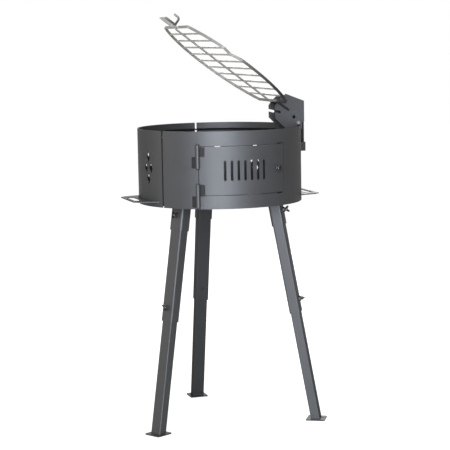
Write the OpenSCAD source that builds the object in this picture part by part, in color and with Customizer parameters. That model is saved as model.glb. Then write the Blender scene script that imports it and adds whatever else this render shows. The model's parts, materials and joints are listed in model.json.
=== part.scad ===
// Round fire pit grill on three telescoping legs, in millimetres.
// The origin is on the ground under the middle of the drum. The door faces -Y.
// Angles round the drum are counted from the front, towards +X.

/* [Drum] */
// Outside diameter of the drum
drum_d = 520; // [500:5:560]
// Height of the drum wall
drum_h = 236; // [230:2:260]
// Thickness of the sheet steel of wall, door and base
sheet_t = 3; // [2.5:0.5:3.5]
// Height of the drum's lower edge above the ground
drum_z = 705; // [660:5:760]
// Height of the base plate above the drum's lower edge
base_lift = 15; // [13:1:18]
// Width of the ledge ring inside the rim
ledge_w = 25; // [18:1:30]
// Thickness of the ledge ring
ledge_t = 4; // [3:0.5:5]
// Distance of the ledge ring below the rim
ledge_drop = 19.5; // [18:0.5:22]

/* [Seams] */
// Gap between two wall panels
seam_gap = 1.6; // [1:0.2:2.4]
// Width of the open notch at the top of a seam
notch_w = 6.4; // [5:0.2:8]
// Depth of the open notch at the top of a seam
notch_h = 31; // [26:1:34]
// Width of the small slot lower in a seam
seam_slot_w = 5.4; // [4:0.2:7]
// Height of the small slot lower in a seam
seam_slot_h = 16; // [12:1:20]
// Distance of that slot below the rim
seam_slot_drop = 42; // [40:1:46]
// Width of the strap behind a seam
strap_w = 42; // [36:2:50]
// Thickness of the strap behind a seam
strap_t = 2.5; // [2:0.5:3]

/* [Side vents] */
// Number of cut-outs in each side panel
vent_count = 4; // [2:1:4]
// Angle between two cut-outs
vent_pitch_angle = 28.9; // [24:0.1:30]
// Angle of the cut-outs' middle from the middle of their panel
vent_shift_angle = 0.6; // [-1:0.1:1]
// Height of the whole cut-out
vent_h = 109; // [80:1:112]
// Width of the whole cut-out
vent_w = 52; // [40:1:54]

/* [Door] */
// Half of the angle that the door opening takes
door_half_angle = 32; // [28:0.5:34]
// Height of the door opening
door_h = 151; // [140:1:160]
// Height of the door opening above the drum's lower edge
door_lift = 41; // [41:1:44]
// Gap round the door
door_gap = 2; // [1:0.2:2.4]
// Length of the wider gap at the door's free corners
relief_len = 32; // [20:1:40]
// Height of the wider gap at the door's free corners
relief_h = 3; // [2:0.5:5]
// Number of air slots in the door
air_slot_count = 7; // [3:1:8]
// Width of an air slot
air_slot_w = 8; // [6:0.5:10]
// Height of an air slot
air_slot_h = 62; // [40:1:80]
// Distance between two air slots along the wall
air_slot_pitch = 21; // [18:0.5:24]
// Angle of the door knob from the front
knob_angle = 25.5; // [24:0.5:28]
// Diameter of the knob's head
knob_d = 18; // [16:0.5:22]
// Length of the knob
knob_len = 13; // [12:0.5:24]

/* [Hinges] */
// Height of a hinge
hinge_h = 78; // [70:1:80]
// Diameter of a hinge barrel
barrel_d = 13; // [11:0.5:14]
// Diameter of a hinge pin
pin_d = 6; // [5:0.5:6]
// Length of a hinge leaf from the pin's axis
leaf_w = 19; // [15:0.5:22]
// Thickness of a hinge leaf
leaf_t = 2.5; // [2:0.1:2.6]

/* [Handles] */
// How far a handle reaches out from the wall
handle_reach = 47; // [40:1:60]
// Width of a handle at its shoulders
handle_w = 190; // [170:2:200]
// Size of the slanted corners of a handle
handle_corner = 16; // [10:1:20]
// Width of a handle where it meets the wall
handle_root_w = 226; // [200:2:240]
// Length of the hand hole
hand_hole_len = 116; // [100:1:124]
// Width of the hand hole
hand_hole_w = 24; // [20:1:26]

/* [Legs] */
// Splay of a leg from upright
splay_angle = 10.2; // [8:0.1:12]
// Distance of a leg's top inside the outside of the wall
leg_inset = 85.5; // [70:0.5:100]
// Width of the upper tube across the leg
upper_w = 45; // [38:0.5:48]
// Depth of the upper tube, from the drum outwards
upper_depth = 35; // [28:0.5:38]
// Wall of the socket and of both tubes
tube_t = 2.5; // [2:0.25:2.75]
// Running clearance on each side between one tube and the next
tube_clearance = 0.5; // [0.3:0.1:0.6]
// Corner radius of the upper tube
tube_corner_r = 5; // [3.8:0.1:6]
// Length of the socket below the base plate
socket_len = 94; // [80:1:100]
// Length of the upper tube
upper_len = 379; // [350:1:400]
// Length of the lower tube inside the upper one
leg_overlap = 95; // [80:1:120]
// Side of a square foot plate
foot_w = 60; // [56:1:66]
// Thickness of a foot plate
foot_t = 4; // [3:0.5:6]
// Diameter of the peg hole in a foot plate
peg_hole_d = 8; // [6:0.5:9]
// Distance of the peg hole from the middle of the foot plate
peg_hole_shift = 22; // [21:0.5:23]

/* [Thumb screws] */
// Diameter of a screw
screw_d = 8; // [6:0.5:9]
// Diameter of the hub between the wings
hub_d = 11; // [9:0.5:14]
// Length of the hub
hub_len = 8; // [6:0.5:11]
// Distance over both wing tips
wing_span = 24; // [20:1:32]
// Thickness of a wing
wing_t = 3; // [2:0.5:4]
// Distance of the socket's screw above the socket's end
socket_screw_up = 46; // [40:1:50]
// Distance of the upper tube's screw above the tube's end
leg_screw_up = 42; // [36:1:50]

/* [Grate bracket] */
// Distance between the outer faces of the two cheeks
cheek_span = 63; // [58:1:70]
// Thickness of the bracket's plate
cheek_t = 3; // [2.5:0.5:4]
// Height of the cheeks above the rim
cheek_h = 99; // [96:1:104]
// Distance of the bracket's back from the outside of the wall
bracket_out = 18; // [16:0.5:22]
// Width of a slot in the cheeks
slot_w = 7.5; // [7:0.25:9]
// Distance of the upper slot's inner end inside the outside of the wall
slot_end_in = 34; // [30:1:38]
// Height of the upper slot's inner end above the rim
slot_end_h = 44; // [42:1:48]
// Angle of the lower slot from level
low_slot_angle = 14.4; // [10:0.2:18]
// Depth of the lower slot
low_slot_len = 19.5; // [16:0.5:24]
// Diameter of the tool hole in the cheeks
tool_hole_d = 11; // [9:0.5:13]
// Diameter of the bolt that rests on the rim
bolt_d = 6; // [5:0.5:6]
// Length of the upper slot from its inner end to the cheeks' front edge
slot_len = 48; // [44:1:52]
// Length of the tongue below the rim
tongue_drop = 84; // [76:1:90]
// Height of the receiver on the wall
receiver_h = 29; // [24:1:36]
// Distance of the receiver's top below the rim
receiver_drop = 57; // [50:1:58]

/* [Cooking grate] */
// Tilt of the raised grate, which is the angle of the upper slot
grate_tilt_angle = 37; // [34:0.5:40]
// Outside radius of the grate
grate_r = 238; // [230:1:244]
// Distance from the grate's middle to each straight end
grate_half_len = 198; // [192:1:204]
// Width of the frame's flat bar, across the grate
frame_bar_h = 8; // [7:0.5:10]
// Thickness of the frame's flat bar
frame_bar_t = 4; // [3:0.5:5]
// Number of rods across the grate
rod_count = 10; // [4:2:10]
// Distance between two rods
rod_pitch = 36; // [30:0.5:37]
// Diameter of a rod
rod_d = 6; // [5:0.5:7]
// Width of the tongue
plate_w = 74; // [70:1:84]
// Thickness of the tongue and of the lifting plate
plate_t = 4; // [3:0.5:5]
// Length of the lifting plate
lift_len = 49; // [42:1:60]
// Width of the lifting plate
lift_w = 70; // [60:1:80]
// Distance of the lifting plate behind the grate's middle line
lift_shift = 11; // [0:1:15]
// Height of the lifting hook
hook_h = 31; // [26:1:36]
// Width of the lifting hook's strip, which stands on edge
hook_w = 6.5; // [5:0.5:8]
// Thickness of the lifting hook's strip
hook_t = 4; // [3:0.5:5]
// Length of the hook's upper arm
hook_arm = 25; // [20:1:30]

/* [Hidden] */
$fn = 96;

// Places of the legs and seams round the drum
left_angle = -60;
right_angle = 60;
back_angle = 180;
panel_angle = 120;

// Clearances
overrun = 10;
weld_gap = 0.1;
seat_gap = 0.3;
pin_clearance = 0.08;
screw_clearance = 0.05;
hole_clearance = 0.4;
barrel_gap = 0.5;

// Drum
drum_r = drum_d / 2;
inner_r = drum_r - sheet_t;
rim_z = drum_z + drum_h;
base_z = drum_z + base_lift;
foot_notch_h = 5;
strap_top_gap = 3;
ledge_split = 8;

// Side vents: a tall diamond of four lozenges, as shares of its size
vent_mid_share = 0.5;
tall_share = 0.385;
tall_width_share = 0.42;
wide_share = 0.33;
wide_width_share = 0.45;

// Door
door_gap_angle = arc_angle(door_gap, drum_r);
relief_angle = arc_angle(relief_len, drum_r);
air_slot_angle = arc_angle(air_slot_pitch, drum_r);
stop_lap = 9;
stop_head = 20.5;
stop_w = 22;
stop_t = 2.3;
knob_z = drum_z + door_lift + door_h / 2;
// Outline of the knob from its foot to its face: shares of its length and of its radius
knob_outline_shares = [
    [0, 0.62], [0.08, 0.66], [0.14, 0.62], [0.2, 0.46], [0.42, 0.4], [0.56, 0.5],
    [0.68, 0.86], [0.76, 1], [0.88, 1], [0.96, 0.84], [1, 0.55]];
knob_screw_d = 5;
knob_screw_head_d = 10;
knob_screw_head_h = 2.8;
knob_screw_share = 0.6;

// Hinges
hinge_angle = -door_half_angle;
hinge_r = drum_r + barrel_gap + barrel_d / 2;
leaf_angle = arc_angle(leaf_w, drum_r);
upper_hinge_drop = 71;
lower_hinge_drop = 40;
upper_hinge_z = drum_z + door_lift + door_h - upper_hinge_drop;
lower_hinge_z = drum_z + door_lift - lower_hinge_drop;
knuckle_gap = 0.3;
knuckle_h = hinge_h / 2;
cap_h = 4;
pin_end_gap = 2;

// Base plate
base_hole_d = 13;
base_hole_count = 6;
base_ring_r = 62;
base_ring_pitch = 62;
base_ring_count = 3;

// Handles
handle_r = drum_r + handle_reach;
hand_hole_r = drum_r + handle_reach / 2;

// Legs: the socket takes the upper tube, and the upper tube takes the lower one
leg_top_r = drum_r - leg_inset;
socket_w = upper_w + 2 * (tube_clearance + tube_t);
socket_depth = upper_depth + 2 * (tube_clearance + tube_t);
lower_w = upper_w - 2 * (tube_clearance + tube_t);
lower_depth = upper_depth - 2 * (tube_clearance + tube_t);
leg_len = (base_z - foot_t) / cos(splay_angle);
lower_len = leg_len - upper_len + leg_overlap;
foot_r = leg_top_r + base_z * tan(splay_angle);
peg_hole_r = foot_r + peg_hole_shift;
upper_end_z = base_z - upper_len * cos(splay_angle);

// Thumb screws
nut_across = 17;
nut_h = 6.5;
screw_stand_off = 1;
wing_tip_r = 4;
wing_lift_share = 0.7;
// How far each screw is turned: left, right and back
socket_screw_turns = [4, 20, 25];
leg_screw_turns = [45, 88, 65];
sight_hole_d = 9;

// Grate bracket
cheek_in = cheek_span / 2 - cheek_t;
cheek_out = cheek_span / 2;
rim_notch_gap = 0.6;
cheek_foot_in = 43;
cheek_foot_drop = 14.8;
cheek_front_low = 22;
cheek_lip = 4;
cheek_chin = 14.4;
cheek_top_in = 44;
cheek_back_h = 75;
cheek_skirt_out = 10;
cheek_skirt_h = 8;
bracket_back_r = drum_r + bracket_out;
slot_end_r = drum_r - slot_end_in;
low_slot_h = 40;
tool_hole_in = 17;
tool_hole_h = 24.5;
bolt_head_d = 11;
bolt_head_h = 4;
bolt_end = 4;
bolt_r_place = sqrt(pow(drum_r - sheet_t / 2, 2) - pow(cheek_in + cheek_t / 2, 2));
bolt_h_place = bolt_head_d / 2 * cos(30) + seat_gap;
receiver_gap = 0.4;

// Cooking grate, along its own slope from the upper slot's inner end
plate_play = 0.3;
plate_start_s = slot_w / 2;
frame_stand_off = 5.3;
near_end_s = slot_len + frame_stand_off + frame_bar_t / 2;
plate_len = near_end_s - frame_bar_t / 2 - plate_start_s;
middle_s = near_end_s + grate_half_len;
far_end_s = middle_s + grate_half_len;
// The notch in the front side of the frame, as shares of the grate's radius
notch_start_share = 0.126;
notch_end_share = 0.38;
notch_tip_share = 0.24;
notch_depth_share = 0.835;
notch_start_s = grate_r * notch_start_share;
notch_end_s = grate_r * notch_end_share;
notch_tip = grate_r * [notch_tip_share, notch_depth_share];
notch_near_angle = atan((grate_reach(notch_start_s, 0) - notch_tip[1]) / (notch_tip[0] - notch_start_s));
notch_far_angle = atan((grate_reach(notch_end_s, 0) - notch_tip[1]) / (notch_end_s - notch_tip[0]));
inner_tip_shift = (frame_bar_t / cos(notch_far_angle) - frame_bar_t / cos(notch_near_angle))
    / (tan(notch_near_angle) + tan(notch_far_angle));
inner_tip = notch_tip
    + [inner_tip_shift, -frame_bar_t / cos(notch_near_angle) - inner_tip_shift * tan(notch_near_angle)];
// Lifting hook: its inner bend, its distance from the frame
// and how far it hangs below the grate's middle plane
hook_bend_r = 5;
hook_stand_off = 8;
hook_sink = 3.5;

// Colours
coat = "#55585c";
coat_dark = "#46484b";
steel = "#b9b5a8";
zinc = "#c9ccd0";

// Angle that a length takes along a circle
function arc_angle(len, r) = len / r * 180 / PI;

// Distance from the grate's middle line to its round side, less an inset
function grate_reach(s, inset) = sqrt(pow(grate_r - inset, 2) - s * s);

// The same to the inner side of the bar round the notch
function notch_reach(s) = inner_tip[1] + (s < inner_tip[0]
    ? (inner_tip[0] - s) * tan(notch_near_angle) : (s - inner_tip[0]) * tan(notch_far_angle));

// How far a rod may reach before it meets the notch
function rod_reach(s) = abs(s - inner_tip[0]) < rod_d / 2 ? inner_tip[1]
    : min(notch_reach(s - rod_d / 2), notch_reach(s + rod_d / 2));

// A point of the cheeks' outline, along and across the upper slot from its inner end
function slope_point(s, n) = [
    slot_end_r - s * cos(grate_tilt_angle) + n * sin(grate_tilt_angle),
    slot_end_h + s * sin(grate_tilt_angle) + n * cos(grate_tilt_angle)];

// Turns what points along +X to an angle round the drum
module around(angle) rotate([0, 0, angle - 90]) children();

// A piece of a ring between two angles round the drum, standing on z = 0
module ring_piece(r_in, r_out, h, from_angle, to_angle)
    around(from_angle)
        rotate_extrude(angle = to_angle - from_angle)
            translate([r_in, 0]) square([r_out - r_in, h]);

// A flat shape pushed outwards through the wall: its x runs round the drum and its y upwards
module through_wall(angle, z)
    around(angle)
        translate([inner_r - overrun, 0, z])
            rotate([90, 0, 90]) linear_extrude(sheet_t + 2 * overrun) children();

module centred_rect(w, h) translate([-w / 2, -h / 2]) square([w, h]);

// A slot with round ends, upright
module round_slot(w, h) {
    centred_rect(w, h - w);
    translate([0, h / 2 - w / 2]) circle(d = w);
    translate([0, w / 2 - h / 2]) circle(d = w);
}

module round_rect(w, h, r) {
    centred_rect(w - 2 * r, h);
    centred_rect(w, h - 2 * r);
    for (x = [r - w / 2, w / 2 - r], y = [r - h / 2, h / 2 - r])
        translate([x, y]) circle(r = r);
}

module lozenge(w, h) polygon([[0, -h / 2], [w / 2, 0], [0, h / 2], [-w / 2, 0]]);

// What is cut away along a seam
module seam_cut(angle) {
    mid_z = drum_z + drum_h / 2;
    through_wall(angle, mid_z) centred_rect(seam_gap, drum_h + 2 * overrun);
    through_wall(angle, rim_z - notch_h)
        translate([-notch_w / 2, 0]) square([notch_w, notch_h + overrun]);
    through_wall(angle, rim_z - seam_slot_drop - seam_slot_h / 2) round_slot(seam_slot_w, seam_slot_h);
    through_wall(angle, drum_z - overrun)
        translate([-notch_w / 2, 0]) square([notch_w, foot_notch_h + overrun]);
}

module wall_panel(from_angle) {
    difference() {
        translate([0, 0, drum_z])
            ring_piece(inner_r, drum_r, drum_h, from_angle, from_angle + panel_angle);
        seam_cut(from_angle);
        seam_cut(from_angle + panel_angle);
        children();
    }
}

module vent_shape() {
    for (side = [-1, 1]) {
        translate([0, side * vent_h * (1 - tall_share) / 2])
            lozenge(vent_w * tall_width_share, vent_h * tall_share);
        translate([side * vent_w * (1 - wide_width_share) / 2, 0])
            lozenge(vent_w * wide_width_share, vent_h * wide_share);
    }
}

module side_vents(middle_angle)
    for (i = [0 : vent_count - 1])
        through_wall(middle_angle + (i - (vent_count - 1) / 2) * vent_pitch_angle,
                     drum_z + drum_h * vent_mid_share)
            vent_shape();

module front_panel() color(coat) wall_panel(left_angle) {
    translate([0, 0, drum_z + door_lift])
        ring_piece(inner_r - overrun, drum_r + overrun, door_h, -door_half_angle, door_half_angle);
    translate([0, 0, drum_z + door_lift - relief_h])
        ring_piece(inner_r - overrun, drum_r + overrun, door_h + 2 * relief_h,
                   door_half_angle - relief_angle, door_half_angle);
}

module left_panel() color(coat) wall_panel(back_angle)
    side_vents(back_angle + panel_angle / 2 + vent_shift_angle);

module right_panel() color(coat) wall_panel(right_angle)
    side_vents(right_angle + panel_angle / 2 + vent_shift_angle);

module seam_strap(angle) color(coat_dark) {
    half_angle = arc_angle(strap_w / 2, inner_r);
    low = base_z + sheet_t + seat_gap;
    high = rim_z - notch_h - strap_top_gap;
    difference() {
        translate([0, 0, low])
            ring_piece(inner_r - weld_gap - strap_t, inner_r - weld_gap, high - low,
                       angle - half_angle, angle + half_angle);
        through_wall(angle, rim_z - seam_slot_drop - seam_slot_h / 2) round_slot(seam_slot_w, seam_slot_h);
    }
}

module base_plate() color(coat_dark) translate([0, 0, base_z]) difference() {
    cylinder(r = inner_r - weld_gap, h = sheet_t);
    translate([0, 0, -overrun]) cylinder(d = base_hole_d, h = sheet_t + 2 * overrun);
    for (ring = [1 : base_ring_count], i = [0 : ring * base_hole_count - 1])
        rotate([0, 0, (i + 0.5) * 360 / (ring * base_hole_count)])
            translate([base_ring_r + (ring - 1) * base_ring_pitch, 0, -overrun])
                cylinder(d = base_hole_d, h = sheet_t + 2 * overrun);
}

module ledge_ring() color(coat_dark) translate([0, 0, rim_z - ledge_drop - ledge_t]) difference() {
    cylinder(r = inner_r - weld_gap, h = ledge_t);
    translate([0, 0, -overrun]) cylinder(r = inner_r - ledge_w, h = ledge_t + 2 * overrun);
    around(back_angle)
        translate([0, -ledge_split / 2, -overrun]) cube([drum_r, ledge_split, ledge_t + 2 * overrun]);
}

// A strip inside the wall that the door closes against, welded on beside the opening
module door_stop() color(coat_dark) {
    lap_angle = arc_angle(stop_lap, inner_r);
    full_angle = arc_angle(stop_w, inner_r);
    from_angle = door_half_angle - lap_angle;
    top_z = rim_z - ledge_drop - ledge_t - stop_head;
    low_z = drum_z + door_lift;
    translate([0, 0, low_z])
        ring_piece(inner_r - seat_gap - stop_t, inner_r - seat_gap, top_z - low_z,
                   from_angle, from_angle + full_angle);
}

module handle_outline() {
    root = handle_root_w / 2;
    shoulder = handle_w / 2;
    edge = shoulder - handle_corner;
    difference() {
        polygon([
            [0, -root], [sqrt(drum_r * drum_r - root * root), -root],
            [handle_r - handle_corner, -shoulder], [handle_r, -edge],
            [handle_r, edge], [handle_r - handle_corner, shoulder],
            [sqrt(drum_r * drum_r - root * root), root], [0, root]]);
        circle(r = drum_r + weld_gap);
    }
}

module handle(angle) color(coat) around(angle) translate([0, 0, base_z]) difference() {
    linear_extrude(sheet_t) handle_outline();
    translate([hand_hole_r, 0, -overrun])
        linear_extrude(sheet_t + 2 * overrun) round_slot(hand_hole_w, hand_hole_len);
}

// A staple on the wall that holds the bracket's tongue
module bracket_receiver() {
    out_r = bracket_back_r + receiver_gap;
    half = cheek_in + receiver_gap;
    color(coat) translate([0, 0, rim_z - receiver_drop - receiver_h]) difference() {
        translate([0, -half - cheek_t, 0]) cube([out_r + cheek_t, 2 * (half + cheek_t), receiver_h]);
        translate([0, -half, -overrun]) cube([out_r, 2 * half, receiver_h + 2 * overrun]);
        translate([0, 0, -overrun]) cylinder(r = drum_r + weld_gap, h = receiver_h + 2 * overrun);
    }
}

// A barrel half with a round cap at its outer end and a bore for the pin
module knuckle(bore_d)
    difference() {
        union() {
            cylinder(d = barrel_d, h = knuckle_h - cap_h);
            translate([0, 0, knuckle_h - cap_h]) cylinder(d1 = barrel_d, d2 = pin_d, h = cap_h);
        }
        translate([0, 0, -overrun]) cylinder(d = bore_d, h = overrun + knuckle_h - cap_h);
    }

// The half of a hinge that is welded to the wall: it holds the pin and lies below
module hinge_fixed(z) color(coat) {
    bore_z = z + knuckle_h - knuckle_gap;
    around(hinge_angle) translate([hinge_r, 0, bore_z]) mirror([0, 0, 1]) knuckle(pin_d);
    translate([0, 0, z + cap_h])
        ring_piece(drum_r + weld_gap, drum_r + weld_gap + leaf_t, knuckle_h - cap_h - knuckle_gap,
                   hinge_angle - leaf_angle, hinge_angle);
}

// The half of a hinge that is welded to the door and turns on the pin
module hinge_door(z) color(coat) {
    bore_d = pin_d + 2 * pin_clearance;
    around(hinge_angle) translate([hinge_r, 0, z + knuckle_h]) knuckle(bore_d);
    leaf_low = z + knuckle_h;
    leaf_high = min(z + hinge_h - cap_h - knuckle_gap, drum_z + door_lift + door_h - door_gap);
    translate([0, 0, leaf_low])
        ring_piece(drum_r + weld_gap, drum_r + weld_gap + leaf_t, leaf_high - leaf_low,
                   hinge_angle, hinge_angle + leaf_angle);
}

module hinge_pins() color(zinc)
    for (z = [upper_hinge_z, lower_hinge_z])
        around(hinge_angle) translate([hinge_r, 0, z + cap_h + pin_end_gap])
            cylinder(d = pin_d, h = hinge_h - 2 * (cap_h + pin_end_gap));

module door_panel() color(coat) difference() {
    half_angle = door_half_angle - door_gap_angle;
    translate([0, 0, drum_z + door_lift + door_gap])
        ring_piece(inner_r, drum_r, door_h - 2 * door_gap, -half_angle, half_angle);
    for (i = [0 : air_slot_count - 1])
        through_wall((i - (air_slot_count - 1) / 2) * air_slot_angle, knob_z)
            round_slot(air_slot_w, air_slot_h);
    through_wall(knob_angle, knob_z) circle(d = knob_screw_d + hole_clearance);
}

module door_knob() color(coat_dark) around(knob_angle) translate([drum_r + weld_gap, 0, knob_z])
    rotate([0, 90, 0]) difference() {
        rotate_extrude() polygon(concat(
            [[0, 0]],
            [for (p = knob_outline_shares) [p[1] * knob_d / 2, p[0] * knob_len]],
            [[0, knob_len]]));
        translate([0, 0, -overrun])
            cylinder(d = knob_screw_d + 2 * screw_clearance, h = overrun + knob_len * knob_screw_share);
    }

module knob_screw() color(zinc) around(knob_angle) translate([inner_r, 0, knob_z])
    rotate([0, 90, 0]) {
        seat = weld_gap + knob_screw_head_h;
        translate([0, 0, -seat]) cylinder(d = knob_screw_head_d, h = knob_screw_head_h);
        translate([0, 0, -seat])
            cylinder(d = knob_screw_d, h = seat + sheet_t + knob_len * knob_screw_share - seat_gap);
    }

// Puts a leg's own frame in place: -Z runs down the leg, +X points outwards
module on_leg(angle)
    around(angle) translate([leg_top_r, 0, base_z]) rotate([0, -splay_angle, 0]) children();

// A tube from one distance down the leg to another
module tube(w, depth, corner, from, to)
    translate([0, 0, -to]) linear_extrude(to - from) difference() {
        round_rect(depth, w, corner);
        round_rect(depth - 2 * tube_t, w - 2 * tube_t, corner - tube_t);
    }

// All that is higher than a level
module above(z) translate([-drum_d, -drum_d, z]) cube([2 * drum_d, 2 * drum_d, drum_z]);

// All that is lower than a level
module below(z) translate([-drum_d, -drum_d, z - drum_z]) cube([2 * drum_d, 2 * drum_d, drum_z]);

module socket(angle) {
    corner = tube_corner_r + tube_clearance + tube_t;
    color(coat) difference() {
        on_leg(angle) {
            tube(socket_w, socket_depth, corner, -overrun, socket_len);
        }
        above(base_z);
        on_leg(angle) translate([0, 0, -socket_len + socket_screw_up]) rotate([0, 90, 0])
            cylinder(d = screw_d + 2 * hole_clearance, h = socket_depth);
    }
}

// A hexagon nut welded to a tube's outer face, which takes a thumb screw
module weld_nut(face_x, down) translate([face_x, 0, -down]) rotate([0, 90, 0]) difference() {
    cylinder(d = nut_across, h = nut_h, $fn = 6);
    translate([0, 0, -overrun]) cylinder(d = screw_d + 2 * screw_clearance, h = nut_h + 2 * overrun);
}

module socket_nuts() color(coat)
    for (angle = [left_angle, right_angle, back_angle])
        on_leg(angle) weld_nut(socket_depth / 2, socket_len - socket_screw_up);

module tube_nut(angle) color(coat) on_leg(angle) weld_nut(upper_depth / 2, upper_len - leg_screw_up);

// A screw with two wings, from the face that it presses on outwards
module wing_screw(tip_x, face_x, down, turn_angle) {
    hub_x = face_x + nut_h + screw_stand_off;
    translate([0, 0, -down]) rotate([0, 90, 0]) rotate([0, 0, turn_angle]) {
        translate([0, 0, tip_x]) cylinder(d = screw_d, h = hub_x - tip_x + hub_len);
        translate([0, 0, hub_x]) cylinder(d = hub_d, h = hub_len);
        for (side = [-1, 1])
            translate([0, 0, hub_x]) rotate([90, 0, 0])
                translate([0, 0, -wing_t / 2]) linear_extrude(wing_t) {
                tip = [side * (wing_span / 2 - wing_tip_r), hub_len * wing_lift_share + wing_tip_r];
                polygon([[0, 0], [side * hub_d / 2, 0], [tip[0] + side * wing_tip_r, tip[1]],
                         [tip[0], tip[1]], [0, hub_len * wing_lift_share]]);
                translate(tip) circle(r = wing_tip_r);
            }
    }
}

module upper_tube(angle) color(coat) difference() {
    on_leg(angle) tube(upper_w, upper_depth, tube_corner_r, -overrun, upper_len);
    above(base_z - seat_gap);
    on_leg(angle) translate([0, 0, -upper_len + leg_screw_up]) rotate([0, 90, 0]) {
        cylinder(d = screw_d + 2 * hole_clearance, h = upper_depth);
        translate([0, 0, -upper_depth]) cylinder(d = sight_hole_d, h = upper_depth);
    }
}

module lower_tube(angle) color(coat) difference() {
    corner = max(tube_corner_r - tube_clearance - tube_t + 2 * tube_clearance, tube_t + tube_clearance);
    on_leg(angle)
        tube(lower_w, lower_depth, corner, upper_len - leg_overlap, leg_len + overrun);
    below(foot_t);
}

module foot(angle) color(coat_dark) around(angle) translate([foot_r, 0, 0]) difference() {
    linear_extrude(foot_t) round_rect(foot_w, foot_w, foot_t);
    translate([peg_hole_shift, 0, -overrun]) cylinder(d = peg_hole_d, h = foot_t + 2 * overrun);
}

module socket_screw(angle, turn_angle) color(zinc) on_leg(angle)
    wing_screw(upper_depth / 2 + seat_gap, socket_depth / 2, socket_len - socket_screw_up, turn_angle);

module leg_screw(angle, turn_angle) color(zinc) on_leg(angle)
    wing_screw(lower_depth / 2 + seat_gap, upper_depth / 2, upper_len - leg_screw_up, turn_angle);

// A slot cut from an inner end towards the drum's middle and upwards
module cheek_slot(end, slope_angle)
    translate(end) rotate(180 - slope_angle) translate([slot_w / 2, 0]) {
        circle(d = slot_w);
        translate([0, -slot_w / 2]) square([drum_r, slot_w]);
    }

// Outline of a cheek: x from the middle of the drum, y from the rim
module cheek_outline() {
    wall_in = sqrt(pow(inner_r, 2) - pow(cheek_out, 2)) - rim_notch_gap;
    wall_out = sqrt(pow(drum_r, 2) - pow(cheek_in, 2)) + rim_notch_gap;
    lip = slope_point(slot_len, cheek_lip);
    chin = slope_point(slot_len, -cheek_chin);
    difference() {
        polygon([
            [drum_r - cheek_foot_in, -cheek_foot_drop], [drum_r + cheek_skirt_out, -cheek_foot_drop],
            [drum_r + cheek_skirt_out, cheek_skirt_h], [bracket_back_r, cheek_skirt_h],
            [bracket_back_r, cheek_back_h], [drum_r - cheek_top_in, cheek_h],
            lip, chin, [chin[0], cheek_front_low]]);
        cheek_slot(slope_point(0, slot_w / 2 - plate_t / 2 - plate_play), grate_tilt_angle);
        cheek_slot([chin[0] + low_slot_len, low_slot_h], low_slot_angle);
        translate([wall_in, -cheek_foot_drop - overrun])
            square([wall_out - wall_in, cheek_foot_drop + overrun + seat_gap]);
    }
}

module cheek(y) color(coat) translate([0, y + cheek_t, rim_z]) rotate([90, 0, 0]) difference() {
    linear_extrude(cheek_t) cheek_outline();
    translate([drum_r - tool_hole_in, tool_hole_h, -overrun])
        cylinder(d = tool_hole_d, h = cheek_t + 2 * overrun);
    translate([bolt_r_place, bolt_h_place, -overrun])
        cylinder(d = bolt_d + hole_clearance, h = cheek_t + 2 * overrun);
}

// The plate between the cheeks, which runs down outside the wall as a tongue
module bracket_back() color(coat)
    translate([bracket_back_r - cheek_t, -cheek_in, rim_z - tongue_drop])
        cube([cheek_t, 2 * cheek_in, tongue_drop + cheek_back_h]);

module bracket_bolt() color(zinc)
    translate([bolt_r_place, -cheek_out - bolt_head_h, rim_z + bolt_h_place]) rotate([-90, 0, 0]) {
        cylinder(d = bolt_head_d, h = bolt_head_h, $fn = 6);
        cylinder(d = bolt_d, h = cheek_span + 2 * bolt_head_h + bolt_end);
    }

module bracket_nut() color(zinc)
    translate([bolt_r_place, cheek_out, rim_z + bolt_h_place]) rotate([-90, 0, 0]) difference() {
        cylinder(d = bolt_head_d, h = bolt_head_h, $fn = 6);
        translate([0, 0, -overrun])
            cylinder(d = bolt_d + 2 * screw_clearance, h = 2 * overrun + bolt_head_h);
    }

// Puts the grate's own frame in place: +X runs up its slope from the slot's inner end
module on_grate()
    translate([slot_end_r, 0, rim_z + slot_end_h]) rotate([0, grate_tilt_angle, 0]) rotate([0, 0, 180])
        children();

module notch(tip) polygon([
    tip,
    tip + grate_r * [-cos(notch_near_angle), sin(notch_near_angle)],
    tip + grate_r * [cos(notch_far_angle), sin(notch_far_angle)]]);

module grate_outline(inset, tip) difference() {
    intersection() {
        circle(r = grate_r - inset);
        centred_rect(2 * grate_half_len + frame_bar_t - 2 * inset, 2 * grate_r);
    }
    notch(tip);
}

module grate_frame() color(steel) on_grate()
    translate([middle_s, 0, -frame_bar_h / 2]) linear_extrude(frame_bar_h) difference() {
        grate_outline(0, notch_tip);
        grate_outline(frame_bar_t, inner_tip);
    }

module grate_rods() color(steel) on_grate() translate([middle_s, 0, 0])
    for (i = [0 : rod_count - 1]) {
        s = (i - (rod_count - 1) / 2) * rod_pitch;
        back = grate_reach(abs(s) + rod_d / 2, frame_bar_t) - weld_gap;
        front = min(back, rod_reach(s) - weld_gap);
        translate([s, -back, 0]) rotate([-90, 0, 0]) cylinder(d = rod_d, h = back + front);
    }

module grate_spine() color(steel) on_grate()
    translate([near_end_s + frame_bar_t / 2 + weld_gap, 0, -rod_d - weld_gap / 2]) rotate([0, 90, 0])
        cylinder(d = rod_d, h = 2 * grate_half_len - frame_bar_t - 2 * weld_gap);

// The plate at the grate's end, which is pushed into the cheeks' slots
module grate_tongue() color(coat_dark) on_grate()
    translate([plate_start_s, -plate_w / 2, -plate_t / 2]) cube([plate_len, plate_w, plate_t]);

module lifting_plate() color(steel) on_grate()
    translate([far_end_s + frame_bar_t / 2, 0, -plate_t / 2]) linear_extrude(plate_t)
        translate([lift_len / 2, -lift_shift]) centred_rect(lift_len, lift_w);

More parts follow.
